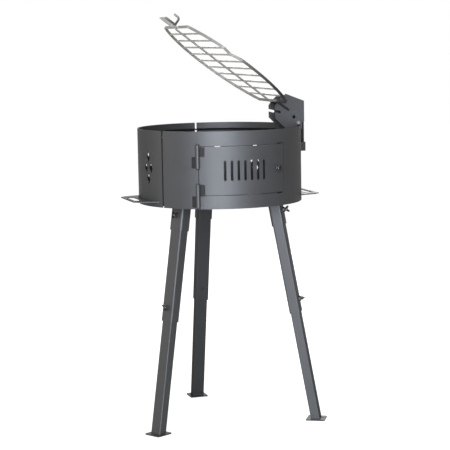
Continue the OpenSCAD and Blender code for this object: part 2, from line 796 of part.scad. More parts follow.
// The hook from its foot: a long arm along the plate's edge, a post, a bend and a shorter arm
module hook_outline() {
    bend_r = hook_bend_r + hook_w;
    square([lift_len - hook_stand_off, hook_w]);
    square([hook_w, hook_h - bend_r]);
    translate([bend_r, hook_h - bend_r]) difference() {
        intersection() {
            circle(r = bend_r);
            translate([-bend_r, 0]) square(bend_r);
        }
        circle(r = hook_bend_r);
    }
    translate([bend_r, hook_h - hook_w]) square([hook_arm - bend_r, hook_w]);
}

module lifting_hook() color(coat) on_grate() {
    from_s = far_end_s + frame_bar_t / 2 + hook_stand_off;
    translate([from_s, lift_w / 2 - lift_shift + hook_t + weld_gap, -hook_sink])
        rotate([90, 0, 0]) linear_extrude(hook_t) hook_outline();
}

front_panel();
left_panel();
right_panel();
seam_strap(left_angle);  // seam_strap_left
seam_strap(right_angle);  // seam_strap_right
seam_strap(back_angle);  // seam_strap_back
base_plate();
ledge_ring();
door_stop();
handle(-90);  // left_handle
handle(90);  // right_handle
bracket_receiver();
hinge_fixed(upper_hinge_z);  // hinge_fixed_upper
hinge_fixed(lower_hinge_z);  // hinge_fixed_lower
hinge_pins();
socket(left_angle);  // socket_left
socket(right_angle);  // socket_right
socket(back_angle);  // socket_back
socket_nuts();
door_panel();
hinge_door(upper_hinge_z);  // hinge_door_upper
hinge_door(lower_hinge_z);  // hinge_door_lower
door_knob();
knob_screw();
cheek(-cheek_out);  // cheek_front
cheek(cheek_in);  // cheek_back
bracket_back();
bracket_bolt();
bracket_nut();
grate_frame();
grate_rods();
grate_spine();
grate_tongue();
lifting_plate();
lifting_hook();
upper_tube(left_angle);  // upper_tube_left
upper_tube(right_angle);  // upper_tube_right
upper_tube(back_angle);  // upper_tube_back
tube_nut(left_angle);  // tube_nut_left
tube_nut(right_angle);  // tube_nut_right
tube_nut(back_angle);  // tube_nut_back
lower_tube(left_angle);  // lower_tube_left
lower_tube(right_angle);  // lower_tube_right
lower_tube(back_angle);  // lower_tube_back
foot(left_angle);  // foot_left
foot(right_angle);  // foot_right
foot(back_angle);  // foot_back
socket_screw(left_angle, socket_screw_turns[0]);  // socket_screw_left
socket_screw(right_angle, socket_screw_turns[1]);  // socket_screw_right
socket_screw(back_angle, socket_screw_turns[2]);  // socket_screw_back
leg_screw(left_angle, leg_screw_turns[0]);  // leg_screw_left
leg_screw(right_angle, leg_screw_turns[1]);  // leg_screw_right
leg_screw(back_angle, leg_screw_turns[2]);  // leg_screw_back
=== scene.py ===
import bpy
import bmesh
import json
import math
from mathutils import Matrix, Vector


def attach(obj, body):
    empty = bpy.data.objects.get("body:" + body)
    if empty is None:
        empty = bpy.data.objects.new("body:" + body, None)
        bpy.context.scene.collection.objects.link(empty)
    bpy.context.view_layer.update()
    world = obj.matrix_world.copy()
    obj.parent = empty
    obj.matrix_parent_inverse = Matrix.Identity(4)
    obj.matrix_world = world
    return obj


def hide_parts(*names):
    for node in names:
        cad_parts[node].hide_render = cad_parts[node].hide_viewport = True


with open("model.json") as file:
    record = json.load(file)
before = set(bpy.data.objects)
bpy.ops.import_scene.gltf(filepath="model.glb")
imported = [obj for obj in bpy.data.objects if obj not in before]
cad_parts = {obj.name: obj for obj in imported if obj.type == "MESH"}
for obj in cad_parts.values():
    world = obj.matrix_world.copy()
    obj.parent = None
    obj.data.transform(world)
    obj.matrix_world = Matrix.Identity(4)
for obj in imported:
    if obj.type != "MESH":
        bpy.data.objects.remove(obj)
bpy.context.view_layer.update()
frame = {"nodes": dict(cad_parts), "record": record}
print("frame loaded:", len(frame["nodes"]), "nodes")

scene = bpy.context.scene
scene.view_settings.view_transform = "Standard"

# Lengths are in metres and angles in degrees. Round the drum, angles are counted from the front,
# towards +X for the object and towards -X for the camera and the lamps.

# the camera stands a little left of the door, about 5 m away
shot = {
    "distance": 4.916,        # from the drum's axis, along the ground
    "height": 1.231,
    "turn": 17.5,
    "heading": 17.66,
    "pitch": 7.03,
    "roll": -1.0,
    "lens": 123.5,            # mm
    "sensor": 36,             # mm
    "clipEnd": 60,
}

# the lamps, each given by its direction from the drum
lamps = {
    "key": {"turn": 18, "rise": 8, "away": 4.6, "size": 3.6, "watts": 271, "hex": "e9f2ff"},
    "leftFill": {"turn": 95, "rise": 12, "away": 3.6, "size": 2.4, "watts": 17, "hex": "fffaf4"},
    "rear": {"turn": 205, "rise": 18, "away": 4.2, "size": 2.0, "watts": 60, "hex": "ffffff"},
    "top": {"turn": -30, "rise": 78, "away": 3.4, "size": 2.6, "watts": 40, "hex": "ffffff"},
}
aimHeight = 0.75              # on the drum's axis

room = {
    "floorHex": "bebebe",
    "floorGlow": 0.93,        # what the camera sees of the floor besides the light on it
    "floorHalf": 14,
    "worldHex": "fff3e8",     # the light from all round
    "worldLevel": 0.2,
    "backdropHex": "ffffff",
    "floorWhite": (1.5, 4.0),     # behind the axis, where the floor begins to show white in metal
    "worldWhite": (0.75, 1.0),    # the same for the world, as a share of straight behind
}


def toLinear(hexCode):
    channels = [int(hexCode[i:i + 2], 16) / 255 for i in (0, 2, 4)]
    return tuple(c / 12.92 if c <= 0.04045 else ((c + 0.055) / 1.055) ** 2.4
                 for c in channels) + (1.0,)


def addNode(tree, kind, settings=None, links=None):
    node = tree.nodes.new(kind)
    for key, value in (settings or {}).items():
        if isinstance(key, int) or key in node.inputs:
            node.inputs[key].default_value = value
        else:
            setattr(node, key, value)
    for key, socket in (links or {}).items():
        tree.links.new(socket, node.inputs[key])
    return node


def newMaterial(name):
    material = bpy.data.materials.new(name)
    material.use_nodes = True
    tree = material.node_tree
    tree.nodes.clear()
    return material, tree


powderCoat = {
    "hex": "626262",              # graphite grey
    "worn": "6b6b6c",             # a little lighter in clouds
    "roughness": 0.5,
    "metallic": 0.7,              # the coat has metal flake in it
    "edgeHex": "bcbcbc",          # the flake keeps it dull where it is seen edge-on
    "cloudMm": 140, "cloudDetail": 3.0, "cloudRoughness": 0.6,
    "cloudRange": (0.35, 0.75), "cloudShare": 0.35,
    "roughRange": (0.3, 0.7), "smoother": 0.04, "rougher": 0.05,     # from cloud to cloud
    "grainMm": 1.6,               # orange peel, drawn as coarse as it needs to show
    "grainDetail": 2.0, "grainRoughness": 0.5,
    "peelStrength": 0.12, "peelDepth": 0.0002,
}
# the ledge under the rim is painted near black: painted shade, standing in for the shadow line
# under it
ledgeShadeCoat = dict(powderCoat, hex="1f1f1f", worn="262626", roughness=0.7, metallic=0.0,
                edgeHex="202020")
# the back leg and the bracket's receiver are painted darker: painted shade, for the shade the back
# leg stands in
paintedShadeCoat = dict(powderCoat, hex="4f4f4f", worn="585859")
# the hand plates lie flat, where the spray is thicker and its flake stands less on edge
handCoat = dict(powderCoat, hex="606061", worn="686869", metallic=0.35, edgeHex="404040")

hinge = {
    "turn": -32,
    "axis": 0.267,                # radius of the pin's axis about the drum's
    "barrel": 0.0065,
    "leaf": 4.187,                # degrees that a leaf reaches from the pin
    "upper": 0.826, "lower": 0.706,               # the lower end of each hinge
    "height": 0.078, "cap": 0.004,
    "leafHex": "393737",          # the leaves take less of the spray and stay nearly black
    "barrelOver": 0.0002, "leafOver": 0.0009,     # past the barrel, where the dark begins and ends
}


def leafShare(tree, place):
    # 1 on the hinge leaves and 0 on the barrel between them
    turn = math.radians(hinge["turn"])
    pin = (hinge["axis"] * math.sin(turn), -hinge["axis"] * math.cos(turn), 0)
    fromPin = addNode(tree, "ShaderNodeVectorMath", {"operation": "SUBTRACT", 1: pin}, {0: place})
    level = addNode(tree, "ShaderNodeVectorMath", {"operation": "MULTIPLY", 1: (1, 1, 0)},
                    {0: fromPin.outputs[0]})
    reach = addNode(tree, "ShaderNodeVectorMath", {"operation": "LENGTH"}, {0: level.outputs[0]})
    share = addNode(tree, "ShaderNodeMapRange",
                    {"From Min": hinge["barrel"] + hinge["barrelOver"],
                     "From Max": hinge["barrel"] + hinge["leafOver"]},
                    {"Value": reach.outputs["Value"]})
    return share.outputs["Result"]


# painted shade along the two front seams
seamShade = {
    "turn": 60,                   # to each side of the front
    "far": 0.0036, "near": 0.001,
    "hex": "262627",
}


def seamShadeShare(tree, place):
    # 1 along the two front seams: painted shade of the gap between the panels
    turn = math.radians(seamShade["turn"])
    axes = addNode(tree, "ShaderNodeSeparateXYZ", {}, {0: place})
    side = addNode(tree, "ShaderNodeMath", {"operation": "ABSOLUTE"}, {0: axes.outputs["X"]})
    across = addNode(tree, "ShaderNodeMath", {"operation": "MULTIPLY", 1: math.cos(turn)},
                     {0: side.outputs[0]})
    reach = addNode(tree, "ShaderNodeMath", {"operation": "MULTIPLY_ADD", 1: math.sin(turn)},
                    {0: axes.outputs["Y"], 2: across.outputs[0]})
    away = addNode(tree, "ShaderNodeMath", {"operation": "ABSOLUTE"}, {0: reach.outputs[0]})
    share = addNode(tree, "ShaderNodeMapRange",
                    {"From Min": seamShade["far"], "From Max": seamShade["near"]},
                    {"Value": away.outputs[0]})
    return share.outputs["Result"]


def makePowderCoat(name, values, darkHex=None, darkShare=None):
    # sprayed powder coat: satin, with fine orange peel and faint clouds of flake
    material, tree = newMaterial(name)
    place = addNode(tree, "ShaderNodeTexCoord").outputs["Object"]
    clouds = addNode(tree, "ShaderNodeTexNoise",
                     {"Scale": 1000 / values["cloudMm"], "Detail": values["cloudDetail"],
                      "Roughness": values["cloudRoughness"]}, {"Vector": place})
    peel = addNode(tree, "ShaderNodeTexNoise",
                   {"Scale": 1000 / values["grainMm"], "Detail": values["grainDetail"],
                    "Roughness": values["grainRoughness"]}, {"Vector": place})
    low, high = values["cloudRange"]
    faint = addNode(tree, "ShaderNodeMapRange",
                    {"From Min": low, "From Max": high, "To Min": 0.0,
                     "To Max": values["cloudShare"]}, {"Value": clouds.outputs["Fac"]})
    colour = addNode(tree, "ShaderNodeMix",
                     {"data_type": "RGBA", 6: toLinear(values["hex"]), 7: toLinear(values["worn"])},
                     {"Factor": faint.outputs["Result"]}).outputs[2]
    low, high = values["roughRange"]
    rough = addNode(tree, "ShaderNodeMapRange",
                    {"From Min": low, "From Max": high,
                     "To Min": values["roughness"] - values["smoother"],
                     "To Max": values["roughness"] + values["rougher"]},
                    {"Value": clouds.outputs["Fac"]})
    bump = addNode(tree, "ShaderNodeBump",
                   {"Strength": values["peelStrength"], "Distance": values["peelDepth"]},
                   {"Height": peel.outputs["Fac"]})
    if darkShare:
        colour = addNode(tree, "ShaderNodeMix", {"data_type": "RGBA", 7: toLinear(darkHex)},
                         {"Factor": darkShare(tree, place), 6: colour}).outputs[2]
    shader = addNode(tree, "ShaderNodeBsdfPrincipled",
                     {"Metallic": values["metallic"],
                      "Specular Tint": toLinear(values["edgeHex"])},
                     {"Base Color": colour, "Roughness": rough.outputs["Result"],
                      "Normal": bump.outputs["Normal"]})
    addNode(tree, "ShaderNodeOutputMaterial", {}, {"Surface": shader.outputs["BSDF"]})
    return material


stainless = {
    "hex": "cfccc3",              # pale and slightly warm
    "shade": "b9b5ab",
    "roughness": 0.36,
    "metallic": 0.6,
    "grainMm": 0.9,               # drawing lines, drawn as coarse as they need to show
    "grainDetail": 4.0, "grainRoughness": 0.6,
    "lineStrength": 0.15, "lineDepth": 0.0001,
    "stainScale": 22.0,           # patches of about 45 mm
    "stainDetail": 3.0, "stainRange": (0.4, 0.7), "stainShare": 0.6,
}
flatBar = dict(stainless, hex="a19e96", shade="87847d", roughness=0.55, metallic=0.35)
# the bent bar: painted highlight at its raised end and in the notch, and painted dark reflection
# towards the tongue
frameBarLightAndShade = dict(
    flatBar,
    toneAxis="X",
    tones=((-0.1384, "bfbdb6"), (-0.134, "b5b3ac"), (-0.126, "9b988f"), (-0.055, "93908a"),
           (-0.048, "b9b7b0"), (-0.003, "b5b3ac"), (0.006, "66645f"), (0.15, "343334")),
    endRange=(-0.131, -0.134),    # along X: the raised end has its tone on both sides
    sideRange=(-0.03, -0.055),    # along Y: elsewhere only the door's side has it
)
# the bent strip of the hook: painted shade in its bend, and painted highlight towards its upper end
hookStripLightAndShade = dict(
    flatBar,
    toneAxis="Z",
    tones=((1.2598, "434344"), (1.275, "4c4c4d"), (1.288, "82817f"), (1.2996, "a5a4a0")),
)
palePlate = dict(stainless, hex="e4e2dc", shade="cfccc5", roughness=0.5, metallic=0.25)
# the tongue: painted shade, near black where it sits in the bracket's slots
tongueShadeBar = dict(stainless, hex="3b3a39", shade="2c2b2a", roughness=0.5, metallic=0.8)


def paintedLightColour(tree, place, colour, values):
    # painted highlight and shade along the piece, over its plain colour
    tones = values["tones"]
    start, length = tones[0][0], tones[-1][0] - tones[0][0]
    axes = addNode(tree, "ShaderNodeSeparateXYZ", {}, {0: place})
    along = addNode(tree, "ShaderNodeMapRange", {"From Min": start, "From Max": tones[-1][0]},
                    {"Value": axes.outputs[values["toneAxis"]]})
    ramp = addNode(tree, "ShaderNodeValToRGB", {}, {"Fac": along.outputs["Result"]})
    stops = ramp.color_ramp.elements
    for i, (at, hexCode) in enumerate(tones):
        share = (at - start) / length
        stop = stops[i] if i < 2 else stops.new(share)
        stop.position = share
        stop.color = toLinear(hexCode)
    mix = addNode(tree, "ShaderNodeMix", {"data_type": "RGBA", 0: 1.0},
                  {6: colour, 7: ramp.outputs["Color"]})
    if "endRange" in values:
        shares = [addNode(tree, "ShaderNodeMapRange",
                          {"From Min": values[key][0], "From Max": values[key][1]},
                          {"Value": axes.outputs[axis]}).outputs["Result"]
                  for key, axis in (("sideRange", "Y"), ("endRange", "X"))]
        toned = addNode(tree, "ShaderNodeMath", {"operation": "MAXIMUM"},
                        {0: shares[0], 1: shares[1]})
        tree.links.new(toned.outputs[0], mix.inputs["Factor"])
    return mix.outputs[2]


def makeStainless(name, values):
    # stainless bar as drawn at the mill: pale and slightly warm, with fine lines and faint stains
    material, tree = newMaterial(name)
    place = addNode(tree, "ShaderNodeTexCoord").outputs["Object"]
    grain = addNode(tree, "ShaderNodeTexNoise",
                    {"Scale": 1000 / values["grainMm"], "Detail": values["grainDetail"],
                     "Roughness": values["grainRoughness"]}, {"Vector": place})
    stain = addNode(tree, "ShaderNodeTexNoise",
                    {"Scale": values["stainScale"], "Detail": values["stainDetail"]},
                    {"Vector": place})
    low, high = values["stainRange"]
    spread = addNode(tree, "ShaderNodeMapRange",
                     {"From Min": low, "From Max": high, "To Min": 0.0,
                      "To Max": values["stainShare"]}, {"Value": stain.outputs["Fac"]})
    colour = addNode(tree, "ShaderNodeMix",
                     {"data_type": "RGBA", 6: toLinear(values["hex"]),
                      7: toLinear(values["shade"])},
                     {"Factor": spread.outputs["Result"]}).outputs[2]
    # painted highlight and shade along the piece, for the bars that list tones
    if "tones" in values:
        colour = paintedLightColour(tree, place, colour, values)
    bump = addNode(tree, "ShaderNodeBump",
                   {"Strength": values["lineStrength"], "Distance": values["lineDepth"]},
                   {"Height": grain.outputs["Fac"]})
    shader = addNode(tree, "ShaderNodeBsdfPrincipled",
                     {"Metallic": values["metallic"], "Roughness": values["roughness"]},
                     {"Base Color": colour, "Normal": bump.outputs["Normal"]})
    addNode(tree, "ShaderNodeOutputMaterial", {}, {"Surface": shader.outputs["BSDF"]})
    return material


zincPlate = {
    "hex": "d3d5d8",
    "roughness": 0.22,
    "mottleScale": 420.0,         # crystals of about 2.4 mm
    "smoother": 0.04, "rougher": 0.08,
}
darkWingZinc = dict(zincPlate, hex="4b4a4a", roughness=0.5)       # the wings, dark
paleHubZinc = dict(zincPlate, hex="77787b", roughness=0.42)     # the hubs, paler than the wings
boltZinc = dict(zincPlate, hex="c8cacd", roughness=0.38)      # satin, as outdoors for a while
blackened = dict(zincPlate, hex="66666a", roughness=0.27)     # turned steel, still glossy


def makeZincPlate(name, values):
    # plated or blackened metal: reflects what is round it, with a faint crystal mottle
    material, tree = newMaterial(name)
    place = addNode(tree, "ShaderNodeTexCoord").outputs["Object"]
    mottle = addNode(tree, "ShaderNodeTexVoronoi", {"Scale": values["mottleScale"]},
                     {"Vector": place})
    rough = addNode(tree, "ShaderNodeMapRange",
                    {"To Min": values["roughness"] - values["smoother"],
                     "To Max": values["roughness"] + values["rougher"]},
                    {"Value": mottle.outputs["Distance"]})
    shader = addNode(tree, "ShaderNodeBsdfPrincipled",
                     {"Base Color": toLinear(values["hex"]), "Metallic": 1.0},
                     {"Roughness": rough.outputs["Result"]})
    addNode(tree, "ShaderNodeOutputMaterial", {}, {"Surface": shader.outputs["BSDF"]})
    return material


coat = makePowderCoat("graphitePowderCoat", powderCoat)
ledgeCoat = makePowderCoat("powderCoatPaintedShadeOnLedge", ledgeShadeCoat)
backCoat = makePowderCoat("graphitePowderCoatPaintedShade", paintedShadeCoat)
plateCoat = makePowderCoat("graphitePowderCoatOnHandPlates", handCoat)
wallCoat = makePowderCoat("graphitePowderCoatOnWall", powderCoat, seamShade["hex"], seamShadeShare)
hingeCoat = makePowderCoat("graphitePowderCoatOnHinges", powderCoat, hinge["leafHex"], leafShare)
steel = makeStainless("drawnStainlessRod", stainless)
barSteel = makeStainless("stainlessFlatBar", flatBar)
frameSteel = makeStainless("flatBarPaintedLightAndShade", frameBarLightAndShade)
hookSteel = makeStainless("hookStripPaintedLightAndShade", hookStripLightAndShade)
plateSteel = makeStainless("stainlessPlate", palePlate)
darkSteel = makeStainless("flatBarPaintedShade", tongueShadeBar)
zinc = makeZincPlate("brightZincPlate", zincPlate)
dullZinc = makeZincPlate("darkZincWings", darkWingZinc)
hubZinc = makeZincPlate("paleZincHubs", paleHubZinc)
boltSteel = makeZincPlate("satinZincBolt", boltZinc)
blackSteel = makeZincPlate("blackenedSteelKnob", blackened)

# a node has its slot's finish, or its own where the photo shows another tone
slotFinishes = {"coat": coat, "coat_inside": coat, "steel": steel, "zinc": zinc}
ownFinishes = {
    "front_panel": wallCoat, "left_panel": wallCoat, "right_panel": wallCoat,
    "ledge_ring": ledgeCoat,
    "left_handle": plateCoat, "right_handle": plateCoat,
    "hinge_fixed_upper": hingeCoat, "hinge_fixed_lower": hingeCoat,
    "hinge_door_upper": hingeCoat, "hinge_door_lower": hingeCoat,
    "upper_tube_back": backCoat, "lower_tube_back": backCoat,
    "foot_back": backCoat, "socket_back": backCoat, "bracket_receiver": backCoat,
    "bracket_bolt": boltSteel,
    "grate_frame": frameSteel, "grate_spine": barSteel, "grate_tongue": darkSteel,
    "lifting_plate": plateSteel, "lifting_hook": hookSteel,
}
for part in frame["record"]["subparts"]:
    for holder in frame["nodes"][part["node"]].material_slots:
        holder.link = "OBJECT"
        holder.material = ownFinishes.get(part["node"], slotFinishes[part["material_slot"]])
print("materials set")


drum = {"radius": 0.260, "low": 0.705, "baseZ": 0.720}
door = {"lift": 0.041, "height": 0.151}           # its opening, above the drum's lower edge
legs = {"left": -60, "right": 60, "back": 180}
legShape = {
    "topRadius": 0.1745,
    "splay": 10.2,
    "socketWidth": 0.051, "socketDepth": 0.041, "socketLength": 0.094,
    "upperDepth": 0.035, "upperLength": 0.379,
    "lowerWidth": 0.039, "lowerDepth": 0.029,
}
mergeDist = 1e-6


def around(angle):
    # turns +X to an angle round the drum
    return Matrix.Rotation(math.radians(angle - 90), 4, "Z")


def wallPoint(angle, radius, z):
    return around(angle) @ Vector((radius, 0, z))


def onLeg(angle):
    # -Z runs down the leg and +X points outwards
    return (around(angle) @ Matrix.Translation((legShape["topRadius"], 0, drum["baseZ"]))
            @ Matrix.Rotation(-math.radians(legShape["splay"]), 4, "Y"))


def finishPiece(shape, name, body, finishes, smoothAngle, place=None, stands=()):
    # makes a piece of a bmesh, moved to its place, with sharp edges past the given angle
    if place is not None:
        bmesh.ops.transform(shape, matrix=place, verts=shape.verts)
    bmesh.ops.recalc_face_normals(shape, faces=shape.faces)
    for face in shape.faces:
        face.smooth = True
    sharp = math.radians(smoothAngle)
    for edge in shape.edges:
        edge.smooth = len(edge.link_faces) == 2 and edge.calc_face_angle(0) < sharp
    mesh = bpy.data.meshes.new(name)
    shape.to_mesh(mesh)
    shape.free()
    for finish in finishes:
        mesh.materials.append(finish)
    thing = bpy.data.objects.new(name, mesh)
    scene.collection.objects.link(thing)
    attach(thing, body)
    if stands:
        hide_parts(*stands)


def lathe(shape, profile, steps):
    # turns a profile of (radius, height) pairs round Z into a closed shape
    verts = [shape.verts.new((r, 0, z)) for r, z in profile]
    edges = [shape.edges.new(pair) for pair in zip(verts, verts[1:])]
    bmesh.ops.spin(shape, geom=verts + edges, cent=(0, 0, 0), axis=(0, 0, 1), angle=2 * math.pi,
                   steps=steps, use_merge=True, use_duplicate=False)
    bmesh.ops.remove_doubles(shape, verts=shape.verts, dist=mergeDist)


wingScrew = {
    "shankRadius": 0.004,
    "threadDepth": 0.00045, "threadPitch": 0.00125,
    "crestShares": (0.45, 0.6),   # of the pitch, where a thread's crest begins and ends
    "tipGap": 0.0003, "tipLength": 0.0006, "tipShare": 0.8,
    "hubRadius": 0.0055, "hubLength": 0.008,
    # softened edges: shares of the hub's radius and length
    "hubShares": ((0.86, 0), (1, 0.12), (1, 0.5), (0.88, 0.78), (0.7, 0.96), (0.5, 1), (0, 1)),
    "nutHeight": 0.0065, "standOff": 0.001,
    "wingTipRadius": 0.004, "wingWide": 0.00408, "wingThick": 0.003, "wingSpan": 0.024,
    "wingStart": 0.002, "startShare": 0.42, "tipLift": 0.0096,
    "steps": 28, "lobeSteps": 20, "lobeRings": 12,
    "smoothAngle": 40,
    # how far each joint's screw lies above the lower end of the tube that carries it
    "socketUp": 0.046, "legUp": 0.042,
    "socketTurn": {"left": 4, "right": 20, "back": 25},
    "legTurn": {"left": 45, "right": 88, "back": 65},
}


def makeWingScrew(side, kind, down, tipX, faceX, turn):
    values = wingScrew
    shape = bmesh.new()
    hubZ = faceX + values["nutHeight"] + values["standOff"]
    # shank with thread ridges, then the hub
    crest, pitch = values["shankRadius"], values["threadPitch"]
    root = crest - values["threadDepth"]
    z = tipX + values["tipGap"]
    profile = [(0, z), (root * values["tipShare"], z)]
    z += values["tipLength"]
    profile.append((root, z))
    while z + pitch < hubZ:
        profile += [(crest, z + pitch * share) for share in values["crestShares"]]
        z += pitch
        profile.append((root, z))
    r, h = values["hubRadius"], values["hubLength"]
    profile.append((root, hubZ))
    profile += [(r * a, hubZ + h * b) for a, b in values["hubShares"]]
    lathe(shape, profile, values["steps"])
    for face in shape.faces:
        face.material_index = 1
    # two wings: rounded lobes that lean outwards from the hub
    for way in (-1, 1):
        tip = Vector((way * (values["wingSpan"] / 2 - values["wingTipRadius"]), 0,
                      hubZ + values["tipLift"]))
        start = Vector((way * values["wingStart"], 0, hubZ + h * values["startShare"]))
        middle, span = (tip + start) / 2, tip - start
        lean = math.atan2(span.x, span.z)
        lobe = bmesh.ops.create_uvsphere(shape, u_segments=values["lobeSteps"],
                                         v_segments=values["lobeRings"], radius=1)["verts"]
        size = Matrix.Diagonal((values["wingWide"], values["wingThick"] / 2,
                                span.length / 2 + values["wingTipRadius"], 1))
        bmesh.ops.transform(shape, verts=lobe, matrix=Matrix.Translation(middle)
                            @ Matrix.Rotation(lean, 4, "Y") @ size)
    place = (onLeg(legs[side]) @ Matrix.Translation((0, 0, -down))
             @ Matrix.Rotation(math.pi / 2, 4, "Y") @ Matrix.Rotation(math.radians(turn), 4, "Z"))
    node = kind + "_screw_" + side
    finishPiece(shape, "wingScrew_" + kind + "_" + side, node, (dullZinc, hubZinc),
                values["smoothAngle"], place, [node])


for side in legs:
    makeWingScrew(side, "socket", legShape["socketLength"] - wingScrew["socketUp"],
                  legShape["upperDepth"] / 2, legShape["socketDepth"] / 2,
                  wingScrew["socketTurn"][side])
    makeWingScrew(side, "leg", legShape["upperLength"] - wingScrew["legUp"],
                  legShape["lowerDepth"] / 2, legShape["upperDepth"] / 2,
                  wingScrew["legTurn"][side])
print("wing screws made")


knob = {
    "angle": 25.5, "height": 0.8215, "gap": 0.0001,
    "length": 0.013, "radius": 0.009,
    # foot, neck and rounded head: shares of the radius and the length
    "shares": ((0, 0), (0.64, 0), (0.68, 0.04), (0.66, 0.1), (0.5, 0.18), (0.46, 0.3),
               (0.48, 0.4), (0.6, 0.5), (0.86, 0.58), (0.97, 0.66), (1, 0.76), (0.98, 0.86),
               (0.9, 0.94), (0.76, 0.99), (0.6, 1), (0.3, 0.985), (0, 0.98)),
    "steps": 48, "smoothAngle": 50,
}


def makeKnob():
    shape = bmesh.new()
    lathe(shape, [(knob["radius"] * a, knob["length"] * b) for a, b in knob["shares"]],
          knob["steps"])
    place = (around(knob["angle"])
             @ Matrix.Translation((drum["radius"] + knob["gap"], 0, knob["height"]))
             @ Matrix.Rotation(math.pi / 2, 4, "Y"))
    finishPiece(shape, "turnedKnob", "door", (blackSteel,), knob["smoothAngle"], place,
                ["door_knob"])


makeKnob()
print("knob made")


bead = {
    "radius": 0.0012,
    "bevel": 2,
    "ripple": 0.0011,             # length of a ripple's step
    "endShare": 0.55,
    "swell": 0.16, "wave": 0.66,
    "smoothAngle": 60,
}


def weldBead(name, body, points, finish=coat):
    # a ripple of weld along a row of points
    data = bpy.data.curves.new(name, "CURVE")
    data.dimensions = "3D"
    data.bevel_depth = bead["radius"]
    data.bevel_resolution = bead["bevel"]
    data.use_fill_caps = True
    fine = []
    for a, b in zip(points, points[1:]):
        count = max(2, int((b - a).length / bead["ripple"]))
        fine += [a.lerp(b, i / count) for i in range(count)]
    fine.append(points[-1])
    line = data.splines.new("POLY")
    line.points.add(len(fine) - 1)
    for i, (spot, point) in enumerate(zip(line.points, fine)):
        spot.co = (*point, 1)
        end = bead["endShare"] if i in (0, len(fine) - 1) else 1.0
        spot.radius = end * (1 + bead["swell"] * math.cos(i * math.pi * bead["wave"]))
    thing = bpy.data.objects.new(name, data)
    scene.collection.objects.link(thing)
    mesh = bpy.data.meshes.new_from_object(thing)
    bpy.data.objects.remove(thing)
    shape = bmesh.new()
    shape.from_mesh(mesh)
    bpy.data.meshes.remove(mesh)
    bmesh.ops.remove_doubles(shape, verts=shape.verts, dist=mergeDist)
    finishPiece(shape, name, body, (finish,), bead["smoothAngle"])


hingeWeld = {
    "off": 0.0012,                # from the wall's face
    "fixedLow": 0.001, "fixedHigh": 0.0015,       # short of the fixed leaf's ends
    "doorLow": 0.001, "doorHigh": 0.0015,         # and of the door leaf's
    "fromOpening": (0.003, 0.0032),               # inside the opening's lower and upper edge
}


def makeHingeWelds():
    values = hingeWeld
    edge = drum["radius"] + values["off"]
    openingLow = drum["low"] + door["lift"]
    for name, low in (("upper", hinge["upper"]), ("lower", hinge["lower"])):
        leafLow, mid = low + hinge["cap"], low + hinge["height"] / 2
        leafHigh = low + hinge["height"] - hinge["cap"]
        doorLow = max(mid + values["doorLow"], openingLow + values["fromOpening"][0])
        doorHigh = min(leafHigh - values["doorHigh"],
                       openingLow + door["height"] - values["fromOpening"][1])
        for kind, body, way, ends in (
                ("Fixed", "drum", -1, (leafLow + values["fixedLow"], mid - values["fixedHigh"])),
                ("Door", "door", 1, (doorLow, doorHigh))):
            weldBead("weldHinge" + kind + "_" + name, body,
                     [wallPoint(hinge["turn"] + way * hinge["leaf"], edge, z) for z in ends],
                     hingeCoat)


makeHingeWelds()


legWeld = {"down": 0.0012, "socketEnd": 0.006, "footEnd": 0.003, "footZ": 0.0048}


def makeLegWelds():
    # beads across the socket's top, under the base plate, and round the lower tube on its foot
    shape, values = legShape, legWeld
    slope = math.tan(math.radians(shape["splay"]))
    stretch = math.cos(math.radians(shape["splay"]))
    for side, angle in legs.items():
        turned = around(angle)
        w = shape["socketWidth"] / 2 - values["socketEnd"]
        z = drum["baseZ"] - values["down"]
        for way, name in ((1, "outer"), (-1, "inner")):
            x = (shape["topRadius"] + slope * values["down"]
                 + way * shape["socketDepth"] / 2 / stretch)
            weldBead("weldSocket_" + name + "_" + side, "drum",
                     [turned @ Vector((x, y, z)) for y in (-w, w)])
        w, d = shape["lowerWidth"] / 2, shape["lowerDepth"] / 2 / stretch
        x = shape["topRadius"] + (drum["baseZ"] - values["footZ"]) * slope
        shortW, shortD = w - values["footEnd"], d - values["footEnd"]
        sides = (((d, -shortW), (d, shortW)), ((-d, -shortW), (-d, shortW)),
                 ((-shortD, w), (shortD, w)), ((-shortD, -w), (shortD, -w)))
        for i, ends in enumerate(sides):
            weldBead("weldFoot_%d_%s" % (i, side), "lower_leg_" + side,
                     [turned @ Vector((x + out, y, values["footZ"])) for out, y in ends])


makeLegWelds()


plateWeld = {
    "below": 0.0009, "off": 0.0008,
    "middles": (-18, 0, 18), "reach": 3, "shares": (-1, -0.33, 0.33, 1),
    "receiver": 7.25, "receiverEnds": (0.857, 0.882),
}


def makePlateWelds():
    # three short beads under each hand plate, and one down each side of the bracket's receiver
    values = plateWeld
    out = drum["radius"] + values["off"]
    z = drum["baseZ"] - values["below"]
    for side, way in (("left", -90), ("right", 90)):
        for i, mid in enumerate(values["middles"]):
            weldBead("weldHandPlate_%d_%s" % (i, side), "drum",
                     [wallPoint(way + mid + share * values["reach"], out, z)
                      for share in values["shares"]])
    for side, way in (("front", -1), ("back", 1)):
        weldBead("weldReceiver_" + side, "drum",
                 [wallPoint(90 + way * values["receiver"], out, end)
                  for end in values["receiverEnds"]])


makePlateWelds()


grateWeld = {
    "rodSize": (0.0042, 0.003, 0.0042), "into": 0.0008,
    "spineSize": (0.0035, 0.0035, 0.0022), "under": 0.003,
    "lump": 0.07, "lumpStep": 2.1,
    "blobLevel": 2, "rodMerge": 1e-5, "digits": 5,
    "smoothAngle": 80,
}


